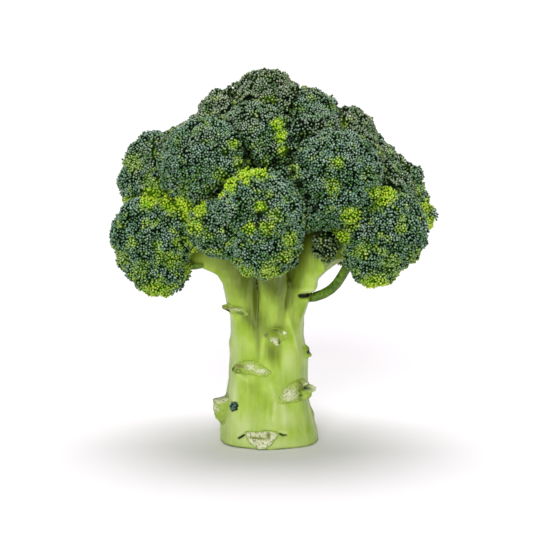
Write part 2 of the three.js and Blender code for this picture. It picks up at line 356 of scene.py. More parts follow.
def budMaterial():
    look = budLook
    material, tree, shader = newMaterial("waxy_flower_buds", look["constants"])
    shares = {}
    for name in ("tip", "luck", "young", "bloom", "dull", "hidden"):
        shares[name] = addNode(tree, "Attribute", "Fac", attribute_name=name)
    spans = {}
    for name, (value, start, end, least, most) in look["spans"].items():
        span = {"Value": shares[value], "From Min": start, "From Max": end, "To Min": least, "To Max": most}
        spans[name] = addNode(tree, "MapRange", 0, span)
    waxed = addNode(tree, "Math", 0, {0: spans["waxy"], 1: shares["bloom"]}, operation="MULTIPLY")
    shades = {}
    for name, share, start, end in (
        ("green", shares["luck"], *look["green"]),
        ("wax", shares["dull"], *look["wax"]),
        ("glinting", spans["glint"], "wax", look["glint"]),
        ("waxed", waxed, "green", "glinting"),
        ("yellow", shares["luck"], *look["yellow"]),
        ("top", shares["young"], "waxed", "yellow"),
        ("foot", shares["young"], *look["foot"]),
        ("anyFoot", spans["dullFoot"], "foot", look["dullFoot"]),
        ("whole", spans["aboveFoot"], "anyFoot", "top"),
        ("seen", shares["hidden"], "whole", look["hidden"]),
    ):
        start, end = (shades[shade] if shade in shades else linear(shade) for shade in (start, end))
        mix = {mixShare: share, mixFrom: start, mixTo: end}
        shades[name] = addNode(tree, "Mix", mixResult, mix, data_type="RGBA")
    tree.links.new(shades["seen"], shader.inputs["Base Color"])
    tree.links.new(spans["shine"], shader.inputs["Specular IOR Level"])
    return material


# Scar of a trimmed leaf. Dry whitish flesh with the brown dots of cut veins, rough and without shine.
# Real veins are 0.4 mm wide and 0.8 mm apart, and are drawn 0.8 mm wide and 1.5 mm apart so that they show.
# Olive is partly the flesh's own deeper green and partly painted shade in hollows; dark is painted shade in
# cracks and holes.
scarLook = {
    "skin": ("#86a628", "#b0c654"),
    "cut": ("#b9bf86", "#ecefd0"),
    "brown": ("#5a5a28", "#989c50"),
    "vein": "#66653a",
    "olive": "#5c7414",
    "dark": "#10190a",
    "veinSpacing": 1.5,
    "veinSpan": {"From Min": 0.36, "From Max": 0.2, "To Max": 0.8},
    "grainSize": 0.7,
    "grainSpan": {"From Min": 0.35, "From Max": 0.68},
    "grainBump": {"Strength": 0.5, "Distance": 0.3 * mm},
    "constants": {"Roughness": 0.6},
}


def scarMaterial():
    look = scarLook
    material, tree, shader = newMaterial("dried_leaf_scar", look["constants"])
    place = addNode(tree, "TexCoord", "Object")
    dots = {"Vector": place, "Scale": scaleFor(look["veinSpacing"])}
    fromVein = addNode(tree, "TexVoronoi", "Distance", dots)
    vein = addNode(tree, "MapRange", 0, {"Value": fromVein, **look["veinSpan"]})
    fine = {"Vector": place, "Scale": scaleFor(look["grainSize"]), "Detail": 3}
    grain = addNode(tree, "TexNoise", 0, fine)
    uneven = addNode(tree, "MapRange", 0, {"Value": grain, **look["grainSpan"]})
    shades = {"olive": linear(look["olive"]), "dark": linear(look["dark"])}
    for name in ("skin", "cut", "brown"):
        start, end = look[name]
        mix = {mixShare: uneven, mixFrom: linear(start), mixTo: linear(end)}
        shades[name] = addNode(tree, "Mix", mixResult, mix, data_type="RGBA")
    mix = {mixShare: vein, mixFrom: shades["cut"], mixTo: linear(look["vein"])}
    shades["cut"] = addNode(tree, "Mix", mixResult, mix, data_type="RGBA")
    colour = shades["skin"]
    for name in ("olive", "cut", "brown", "dark"):
        share = addNode(tree, "Attribute", "Fac", attribute_name=name)
        mix = {mixShare: share, mixFrom: colour, mixTo: shades[name]}
        colour = addNode(tree, "Mix", mixResult, mix, data_type="RGBA")
    tree.links.new(colour, shader.inputs["Base Color"])
    bump = addNode(tree, "Bump", 0, {"Height": grain, **look["grainBump"]})
    tree.links.new(bump, shader.inputs["Normal"])
    return material


# Matt white paper. It gives the soft pale shadow and no shine.
def paperMaterial():
    return newMaterial("white_paper", {"Base Color": linear("#fffbfe"), "Roughness": 0.9})[0]


skin = stalkSkinMaterial()
budSkin = budMaterial()
bedSkin = layeredMaterial("flesh_between_buds", bedLook)
scarSkin = scarMaterial()
shootSkin = layeredMaterial("young_shoot_skin", shootLook)
branchletSkin = layeredMaterial("shaded_branchlet_skin", branchletLook)
axilSkin = layeredMaterial("axil_bud_scales", axilLook)
print("materials ready")


# The stalk and its stems. Places on the skin are (degrees round from the front, height).
stalkShape = {
    "voxel": 0.55,
    "swell": 0.6,
    "rounds": 30,
    "deeperFoot": 8,
    "footEven": 6,
    "trunkTop": 85.0,
    "crownFaces": 0.12,
    "axis": (-1.0, 0.0),
    "girth": 18.5,
    "fade": (100, 84),  # the relief fades out between these heights
    "bumps": [(0.45, 9, 0.6, 0.0), (0.12, 2.6, 1, 0.0)],
    "flutes": {"much": 0.1, "size": 2.6, "drawnOut": 0.12},
    "blotches": [(0.35, 6, 0.45, 7.0), (0.14, 2.4, 0.2, 2.0)],
    # How much painted shade goes into grooves, and painted highlight onto ridges and the lips of slits.
    "grooveShade": 0.8,
    "ridgeLight": 0.5,
    "lipUp": 2.2,
    "lipHeight": 0.12,
    "lipLight": 0.6,
    "slitEdge": (0.3, 0.75),
    "palest": 0.9,
    "deepest": 0.95,
    # From this height to this, and by how much: painted shade deepens the skin under the crown, painted
    # light makes it paler at the foot, painted shade turns it black among the stems inside the crown, and
    # the cut's edge is dried brown with a painted contact shadow along it.
    "crownShade": (62, 90, 0.4),
    "footLight": (30, 0, 0.2),
    "crownDark": (100, 116, 0.85),
    "driedEdge": (0.9, 0.2, 0.75),
    "driedPatches": {"size": 5, "shift": 8.0, "span": (-0.5, 0.3)},
    # Lines on the skin: their points, how deep or high they are, and how wide. Grooves are painted with
    # shade and ridges with a highlight as well.
    "grooves": [
        ([(-27, 97), (-23, 86), (-22, 75), (-20, 63), (-17, 55)], 2.4, 1.3),
        ([(-17, 57), (-15, 48), (-16, 40)], 0.3, 1.3), ([(37, 92), (34, 76), (31, 61)], 1.5, 1.5),
        ([(13, 27), (7, 21), (5, 12)], 0.4, 0.8), ([(-40, 19), (-38, 11)], 0.3, 0.8),
        ([(24, 52), (20, 44), (21, 36)], 0.35, 1.6), ([(100, 90), (98, 74), (104, 58)], 1.3, 2.2),
        ([(150, 92), (152, 78), (147, 66)], 1.3, 2.2), ([(-160, 92), (-157, 76), (-162, 60)], 1.3, 2.2),
        ([(-105, 90), (-108, 74), (-104, 60)], 1.2, 2.2), ([(-128, 50), (-124, 38), (-126, 30)], 0.4, 1.2),
        ([(120, 40), (124, 28), (122, 16)], 0.4, 1.2),
    ],
    "ridges": [
        ([(29, 68), (35, 60), (46, 52), (54, 42)], 0.45, 1.2),
        ([(-4, 56), (-8, 49), (-10, 42)], 0.35, 1.2),
        ([(-62, 39), (-48, 34.5), (-34, 32), (-26, 31)], 0.45, 0.8),
        ([(-57, 36), (-55, 26), (-50, 17)], 0.45, 1.5), ([(2, 33), (9, 25), (8, 15)], 0.4, 1.3),
        ([(22, 24), (24, 16), (22, 9)], 0.35, 1.6), ([(72, 22), (76, 14), (74, 7)], 0.4, 1.6),
        ([(150, 52), (160, 42), (162, 30)], 0.45, 1.2), ([(128, 52), (120, 44), (118, 34)], 0.45, 1.2),
        ([(-166, 24), (-172, 16), (-170, 8)], 0.45, 1.2), ([(-134, 24), (-128, 16), (-130, 8)], 0.45, 1.2),
    ],
    # Slits, where a leaf's edge has dried back from the skin or two stems part: sunk into the skin, painted
    # near black as shade, with a painted highlight on the lip above.
    "slits": [
        ([(38, 72.8), (48, 71.9), (60, 71.6), (72, 72.4)], 2.6, 1.3),
        ([(-45, 3.4), (-37, 5.0), (-29, 7.2)], 1.0, 0.65), ([(12, 7.8), (21, 6.3), (29, 6.4)], 0.9, 0.6),
        ([(79, 43.6), (86, 44.6), (93, 45)], 0.7, 0.5), ([(-59, 38.6), (-56, 38), (-54, 37.2)], 0.9, 0.8),
        ([(-25, 98), (-23, 88), (-22, 80), (-21, 70)], 0.6, 0.6),
    ],
    # Swellings, and hollows below 0: (degrees, height), half width, half height, how far out.
    "swellings": [
        ((-32, 48), 4, 8, 0.6), ((37, 40), 4, 8, 0.55), ((12, 80), 5, 12, 0.5), ((-50, 77), 5, 9, 0.5),
        ((60, 76.2), 9, 1.6, 0.9), ((-91, 47), 3, 3, 0.8), ((89, 13), 2.5, 2.5, 0.9),
        ((86, 42), 4, 3, 0.9), ((-42, 60), 5, 4.5, -1.2), ((14, 55), 4.4, 2.6, -1.8),
        ((-42, 34.6), 2.6, 1.6, -0.7), ((-15, 22), 8, 9, -0.5), ((12, 44), 3.5, 5, -0.35),
        ((38, 17), 6, 7, 0.35), ((-8, 1), 14, 3, 0.3), ((150, 40), 6, 9, -0.5), ((-145, 40), 6, 9, -0.4),
    ],
    # Spots of painted light and shade on the skin, with some of its own mottling: the same, and how pale,
    # or below 0 how deep.
    "tints": [
        ((-23, 88), 2.4, 22, -1.1), ((-40, 78), 3, 10, -0.35), ((-75, 80), 4, 14, -0.5),
        ((-58, 84), 3, 9, 0.35), ((-4, 90), 8, 12, -0.9), ((-6, 72), 3, 9, 0.15), ((12, 76), 4, 12, -0.8),
        ((22, 66), 2.5, 12, -0.3), ((35, 84), 2, 14, -0.8), ((52, 80), 4, 8, 0.5), ((70, 80), 3, 9, -0.2),
        ((-18, 60), 6, 7, -0.75), ((-40, 62), 5, 4, -0.7), ((-8, 51), 4, 6, -0.4), ((-52, 50), 5, 9, 0.35),
        ((-30, 48), 4, 5, 0.25), ((6, 66), 4, 5, 0.2), ((14, 56), 5, 2.4, -0.7), ((6, 45), 4, 5, -0.6),
        ((32, 42), 4, 7, 0.75), ((50, 50), 3, 10, 0.2), ((52, 60), 6, 9, -0.45), ((-12, 24), 8, 9, -0.25),
        ((-24, 33), 4, 2, 0.3), ((16, 22), 3, 8, 0.35), ((-55, 24), 5, 8, 0.5), ((-38, 10), 9, 7, 0.6),
        ((30, 13), 7, 6, 0.35), ((-72, 6), 4, 5, -0.3), ((8, 2), 14, 3, 0.5), ((62, 16), 4, 9, -0.3),
        ((140, 80), 5, 14, -0.6), ((-150, 80), 5, 14, -0.6), ((-110, 60), 5, 9, -0.5),
        ((110, 66), 5, 9, -0.5), ((170, 50), 6, 9, 0.4), ((-130, 38), 5, 9, 0.4), ((130, 22), 7, 8, 0.4),
        ((-170, 16), 6, 6, 0.3),
    ],
}
strokeShape = {"end": -0.02, "taper": 0.3, "thinnest": 0.3}
degree = stalkShape["girth"] * math.pi / 180  # millimetres round the skin


def skinPlace(points):
    x, y = stalkShape["axis"]
    return np.degrees(np.arctan2(points[:, 0] - x, -(points[:, 1] - y))), points[:, 2]


# How near each place on the skin is to a drawn line, 1 on it and falling to 0, and thin towards its ends.
def strokeOn(degrees, heights, path, width):
    s = strokeShape
    path = np.array(path, float)
    middle = path[:, 0].mean()
    x = ((degrees - middle + 180) % 360 - 180) * degree
    lineX = (path[:, 0] - middle) * degree
    best = np.full(len(x), np.inf)
    along = np.zeros(len(x))
    lengths = np.hypot(np.diff(lineX), np.diff(path[:, 1]))
    done = 0
    for i, length in enumerate(lengths):
        dx, dz = lineX[i + 1] - lineX[i], path[i + 1, 1] - path[i, 1]
        t = np.clip(((x - lineX[i]) * dx + (heights - path[i, 1]) * dz) / length ** 2, 0, 1)
        far = np.hypot(x - lineX[i] - t * dx, heights - path[i, 1] - t * dz)
        nearer = far < best
        best[nearer] = far[nearer]
        along[nearer] = (done + t[nearer] * length) / lengths.sum()
        done += length
    taper = smoothStep(s["end"], s["taper"], along) * smoothStep(1 - s["end"], 1 - s["taper"], along)
    return np.exp(-(best / (width * (s["thinnest"] + (1 - s["thinnest"]) * taper))) ** 2) * taper


def spotOn(degrees, heights, place, halfWidth, halfHeight):
    x = ((degrees - place[0] + 180) % 360 - 180) * degree / halfWidth
    return np.exp(-(x ** 2 + ((heights - place[1]) / halfHeight) ** 2))


# How far the skin stands out; how pale or deep it is, from its own mottling and from painted light and
# shade;
# and how dark it is where dried and where painted shade lies in slits and among the stems in the crown.
def skinRelief(points):
    s = stalkShape
    degrees, heights = skinPlace(points)
    crownShade, footLight, dark, crease = [
        much * smoothStep(start, end, heights)
        for start, end, much in (s[name] for name in ("crownShade", "footLight", "crownDark", "driedEdge"))
    ]
    unrolled = np.stack([degrees * degree, 0 * heights, heights * s["flutes"]["drawnOut"]], 1)
    push = layered(points, s["bumps"])
    push += s["flutes"]["much"] * softNoise(unrolled, s["flutes"]["size"])
    tint = layered(points, s["blotches"])
    tint -= crownShade
    tint += footLight
    patches = s["driedPatches"]
    crease = crease * smoothStep(*patches["span"], softNoise(points, patches["size"], patches["shift"]))
    for path, depth, width in s["grooves"]:
        stroke = strokeOn(degrees, heights, path, width)
        push -= depth * stroke
        tint -= s["grooveShade"] * stroke * min(depth, 1)
    for path, height, width in s["ridges"]:
        stroke = strokeOn(degrees, heights, path, width)
        push += height * stroke
        tint += s["ridgeLight"] * stroke
    for *spot, far in s["swellings"]:
        push += far * spotOn(degrees, heights, *spot)
    for *spot, much in s["tints"]:
        tint += much * spotOn(degrees, heights, *spot)
    for path, depth, width in s["slits"]:
        stroke = strokeOn(degrees, heights, path, width)
        push -= depth * stroke
        lip = strokeOn(degrees, heights - s["lipUp"] * width, path, width)
        push += s["lipHeight"] * depth * lip
        tint += s["lipLight"] * lip
        crease = np.maximum(crease, smoothStep(*s["slitEdge"], stroke))
    fade = smoothStep(*s["fade"], heights)
    return push * fade, tint, np.maximum(crease * fade, dark)


def makeStalk():
    s = stalkShape
    mesh = melted(["main_stalk", *stemNodes], s["voxel"], s["swell"], s["rounds"], s["deeperFoot"])
    points = pointsOf(mesh)
    sides = normalsOf(mesh)
    sides[:, 2] *= smoothStep(0, s["footEven"], points[:, 2])
    setPoints(mesh, points + unit(sides) * skinRelief(points)[0][:, None])
    # The flesh below the cut is sliced off, and the cut is closed.
    work = bmesh.new()
    work.from_mesh(mesh)
    everything = work.verts[:] + work.edges[:] + work.faces[:]
    bmesh.ops.bisect_plane(work, geom=everything, plane_co=(0, 0, 0), plane_no=(0, 0, -1), clear_outer=True)
    bmesh.ops.edgeloop_fill(work, edges=[edge for edge in work.edges if edge.is_boundary])
    work.to_mesh(mesh)
    work.free()
    inCrown = pointsOf(mesh)[:, 2] > s["trunkTop"]
    mesh = withModifiers(mesh, [("DECIMATE", {"ratio": s["crownFaces"], "vertex_group": "part"})], inCrown)
    tint, crease = skinRelief(pointsOf(mesh))[1:]
    setValues(mesh, pale=np.clip(tint, 0, s["palest"]), deep=np.clip(-tint, 0, s["deepest"]), crease=crease)
    return mesh


stalkMesh = makeStalk()
addPiece("stalk", stalkMesh, [skin], ["main_stalk", *stemNodes])
stalkTree = treeOf(stalkMesh)
print("stalk and stems ready:", len(stalkMesh.polygons), "faces")


# What all leaf scars share. Share is 0 in a scar's middle and 1 at its edge.
scarShape = {
    "rings": 18,
    "spokes": 64,
    "ringsOutward": 1.4,
    "edge": 0.35,
    "depth": 2.0,
    "castFrom": 60,
    "lowest": 0.3,
    "wobble": [(0.07, 3), (0.05, 5)],
    "pointWidth": 0.4,
    "flatTo": 0.8,
    "rimAt": (0.84, 0.08),
    "grain": [(1, 1.3, 1, 0.0), (0.6, 0.6, 1, 0.0)],
    "cutEdge": (0.88, 0.72),
    "driedRim": {"much": 0.28, "at": (0.8, 0.1), "size": 2.2, "shift": 5.0, "span": (-0.05, 0.35)},
    "rampShape": {"power": 0.55, "width": 0.66, "sideFrom": 0.6, "lip": (1.8, 0.2), "cut": (-0.2, 0.9)},
    "lumpPower": 1.5,
    "lumpHides": 0.8,
}
# Each scar: half its width and height, its bow and slope, how far its face stands out, its rim and
# roughness, how far the cut shows, and lumps as (across, up, half width, half height, out, kind). A point
# draws its lower edge down, at this place across and by so much. A ramp rises this far out up to this
# height.
scars = {
    "leaf_stub_upper_left": {
        "half": (6.8, 2.6), "bow": -0.4, "slope": -0.2, "out": 0.7, "rim": 0.3, "rough": 0.5, "cut": 0.1,
        "lumps": [
            (-5.6, -0.2, 2.0, 2.2, 2.2, "olive"), (0.0, 0.8, 4.4, 0.8, 0.8, "brown"),
            (2.0, 0.2, 2.6, 0.7, 0.4, "cut"), (-3.0, -0.8, 1.2, 1.0, 0.0, "dark"),
            (2.5, -1.6, 3.0, 0.9, -0.4, "olive"),
        ],
    },
    "leaf_stub_centre": {
        "half": (7.0, 3.1), "bow": 0.5, "slope": 0.0, "out": 0.1, "rim": 0.7, "rough": 0.15, "cut": 0.0,
        "point": (0.1, 1.15),
        "lumps": [
            (0.4, 0.7, 5.2, 1.9, -0.9, "olive"), (-1.2, -2.6, 2.2, 1.9, 1.0, "cut"),
            (-0.2, -4.6, 1.1, 1.5, 0.7, "cut"), (-5.0, 0.3, 1.4, 1.3, 0.5, "brown"),
            (1.5, -3.4, 0.4, 1.7, -0.2, "dark"), (4.6, 0.8, 1.3, 1.0, 0.5, "cut"),
        ],
    },
    "leaf_stub_mid_left": {
        "half": (12.4, 3.7), "bow": 2.8, "slope": 0.0, "out": 0.25, "rim": 0.4, "rough": 0.25, "cut": 0.0,
        "lumps": [
            (0.9, 1.9, 2.6, 1.6, 0.9, "cut"), (6.0, 0.2, 3.4, 1.2, 0.4, "cut"),
            (-2.6, -1.6, 2.4, 1.4, 1.2, "green"), (-10.4, -0.4, 1.3, 1.4, 0.2, "dark"),
            (-4.6, 1.8, 2.6, 1.0, 0.7, "brown"), (-6.4, -0.6, 2.2, 1.0, -0.3, "olive"),
        ],
    },
    "leaf_stub_mid_right": {
        "half": (10.6, 5.8), "bow": 1.0, "slope": 0.12, "out": 0.6, "rim": 0.15, "rough": 0.8, "cut": 0.0,
        "lumps": [
            (-4.8, -0.4, 3.7, 3.2, 1.7, "cut"), (8.0, 0.8, 2.6, 2.4, 4.8, "cut"),
            (5.4, -3.2, 2.2, 2.7, 3.2, "green"), (-0.4, 3.6, 1.5, 1.8, 3.0, "brown"),
            (3.8, 4.0, 2.4, 1.2, 3.0, "cut"), (1.4, -1.6, 0.9, 2.8, -0.8, "dark"),
            (5.0, 1.2, 1.2, 1.0, -0.6, "dark"), (2.0, 2.0, 1.2, 1.0, 1.4, "olive"),
        ],
    },
    "leaf_stub_lower_left": {
        "half": (7.0, 8.6), "bow": 0.0, "slope": 0.0, "out": 0.2, "rim": 0.0, "rough": 0.6, "cut": 0.0,
        "ramp": (5.6, 4.2),
        "lumps": [
            (-1.0, 5.0, 2.6, 1.2, 0.6, "cut"), (2.6, 4.4, 1.8, 1.4, 1.0, "cut"),
            (-0.4, 4.4, 0.8, 0.9, 0.0, "dark"), (-3.0, -3.6, 2.6, 3.0, 0.5, "green"),
            (1.0, 0.6, 2.0, 1.6, 0.4, "cut"),
        ],
    },
    "leaf_stub_foot": {
        "half": (7.8, 4.4), "bow": -1.3, "slope": 0.05, "out": 0.6, "rim": 0.25, "rough": 0.6, "cut": 1.0,
        "point": (-0.1, 0.35),
        "lumps": [(2.9, 0.9, 0.8, 1.8, -0.3, "brown"), (-1.5, -0.4, 3.6, 0.6, 0.3, "brown")],
    },
    "leaf_stub_right": {
        "half": (4.0, 3.2), "bow": 0.5, "slope": 0.15, "out": 0.8, "rim": 0.1, "rough": 0.2, "cut": 0.0,
        "lumps": [
            (0, 0.2, 3.4, 0.9, -0.2, "dark"), (0, 1.8, 2.4, 0.8, 0.9, "olive"),
            (0, -1.6, 2.6, 1.0, 0.7, "green"),
        ],
    },
    "leaf_stub_back_right": {
        "half": (9.2, 4.0), "bow": 2.0, "slope": 0.05, "out": 0.3, "rim": 0.5, "rough": 0.3, "cut": 0.1,
        "lumps": [
            (-2.6, 0.6, 3.0, 1.6, 0.8, "cut"), (4.6, -0.8, 2.2, 1.2, 0.0, "olive"),
            (8.0, 0.0, 1.0, 1.0, 0.2, "dark"), (2.4, 1.4, 3.0, 0.8, 0.4, "brown"),
        ],
    },
    "leaf_stub_back_left": {
        "half": (9.0, 4.6), "bow": 1.0, "slope": -0.08, "out": 0.6, "rim": 0.3, "rough": 0.6, "cut": 0.2,
        "lumps": [
            (-4.8, 1.0, 2.2, 1.8, 1.8, "brown"), (2.2, -2.0, 2.2, 1.8, 1.2, "olive"),
            (1.6, 1.4, 3.2, 1.4, 0.7, "cut"),
        ],
    },
}


# A scar's face: how far it stands out at (u, v) on the skin, and where each kind of flesh shows.
def scarFace(s, u, v, share, local):
    shape = scarShape
    inside = smoothStep(1.0, shape["flatTo"], share)
    out = (s["out"] + shape["edge"]) * inside - shape["edge"]
    out += s["rim"] * bell(share, *shape["rimAt"])
    out += s["rough"] * inside * layered(local, shape["grain"])
    dried = shape["driedRim"]
    broken = smoothStep(*dried["span"], softNoise(local, dried["size"], dried["shift"]))
    values = {"cut": s["cut"] * smoothStep(*shape["cutEdge"], share)}
    for kind in ("dark", "olive", "green"):
        values[kind] = np.zeros(len(u))
    values["brown"] = dried["much"] * broken * bell(share, *dried["at"])
    if "ramp" in s:
        ramp = shape["rampShape"]
        proud, top = s["ramp"]
        slope = smoothStep(-s["half"][1], top, v) ** ramp["power"]
        slope *= smoothStep(top + ramp["lip"][0], top + ramp["lip"][1], v)
        slope *= bell(u, 0, ramp["width"] * s["half"][0])
        out += proud * slope * smoothStep(1.0, ramp["sideFrom"], share)
        face = smoothStep(top + ramp["cut"][0], top + ramp["cut"][1], v) * inside
        values["cut"] = np.maximum(values["cut"], face)
    for x, z, halfWidth, halfHeight, far, kind in s["lumps"]:
        spot = np.exp(-(((u - x) / halfWidth) ** 2 + ((v - z) / halfHeight) ** 2) ** shape["lumpPower"])
        out += far * spot * inside
        values[kind] = np.maximum(values[kind], spot * inside)
        for other in values:
            if other not in (kind, "dark"):
                values[other] = values[other] * (1 - shape["lumpHides"] * spot)
    return out, values


def makeScar(node, s):
    shape = scarShape
    low, high = boxOf(node)
    degrees, height = (value[0] for value in skinPlace(((low + high) / 2)[None]))
    count = shape["spokes"]
    spokes = np.arange(count) * 2 * math.pi / count
    rings = 1 - (1 - np.arange(1, shape["rings"] + 1) / shape["rings"]) ** shape["ringsOutward"]
    share, turn = (np.append(grid.ravel(), 0) for grid in np.meshgrid(rings, spokes, indexing="ij"))
    wobble = 1
    for (much, waves), start in zip(shape["wobble"], (degrees, height)):
        wobble = wobble + much * np.cos(waves * turn + start)
    u = s["half"][0] * share * wobble * np.cos(turn)
    v = s["half"][1] * share * wobble * np.sin(turn)
    if "point" in s:
        at, much = s["point"]
        v *= 1 + much * bell(np.cos(turn), at, shape["pointWidth"]) * (np.sin(turn) < 0)
    v += s["bow"] * (0.5 - (u / s["half"][0]) ** 2) + s["slope"] * u
    out, values = scarFace(s, u, v, share, np.stack([u, v, np.full(len(u), degrees)], 1))
    angle = np.radians(degrees + u / degree)
    outward = np.stack([np.sin(angle), -np.cos(angle), np.zeros(len(u))], 1)
    level = np.stack([0 * v, 0 * v, np.maximum(height + v, shape["lowest"])], 1)
    starts = np.array([*stalkShape["axis"], 0.0]) + outward * shape["castFrom"] + level
    points = []
    for start, toward, far in zip(starts.tolist(), outward, out):
        hit = stalkTree.ray_cast(Vector(start), Vector(-toward))[0]
        points.append(np.array(hit) + toward * far)
    # The face's edge is closed by a cone to a foot inside the stalk.
    centre = len(points) - 1
    foot = centre + 1
    points.append(points[centre] - outward[centre] * shape["depth"])
    faces = []
    last = (shape["rings"] - 1) * count
    for i in range(count):
        j = (i + 1) % count
        faces.append((centre, i, j))
        for k in range(0, last, count):
            faces.append((k + i, k + count + i, k + count + j, k + j))
        faces.append((last + j, last + i, foot))
    mesh = meshFrom(points, faces)
    setValues(mesh, **{kind: np.append(np.clip(value, 0, 1), 0) for kind, value in values.items()})
    return mesh


for node, settings in scars.items():
    name = node.replace("leaf_stub", "leaf_scar")
    addPiece(name, makeScar(node, settings), [scarSkin], [node])
print("leaf scars ready")


shootShape = {"voxel": 0.45, "swell": 0.0, "rounds": 12}

for node in ("side_shoot_right", "side_shoot_left"):
    addPiece(node + "_skin", melted([node], **shootShape), [shootSkin], [node])
print("side shoots ready")


# What all florets share.
floretShape = {
    "melt": {"voxel": 1.9, "swell": 0.0, "rounds": 5},
    "envelopeMelt": {"voxel": 2.4, "rounds": 8},
    "envelope": {"swell": 7, "reach": 11},
    "topEnvelope": {"swell": 18, "reach": 18},
    "reachFull": 4,
    "cleftSpan": (2.4, 0.9),
    "cleftShade": 3.2,
    "cleftShadeFull": 0.4,
    "evenedOut": {"factor": 0.5, "iterations": 2},
    "inset": 1.0,
    "lumps": [(9.0, 1.3), (4.0, 0.6)],
    "rootPoints": 12,
    "frontPast": 4,
    "hollowFloor": 0.3,
    "rays": 14,
    "rayFrom": 1.2,
    "rayReach": 45,
}
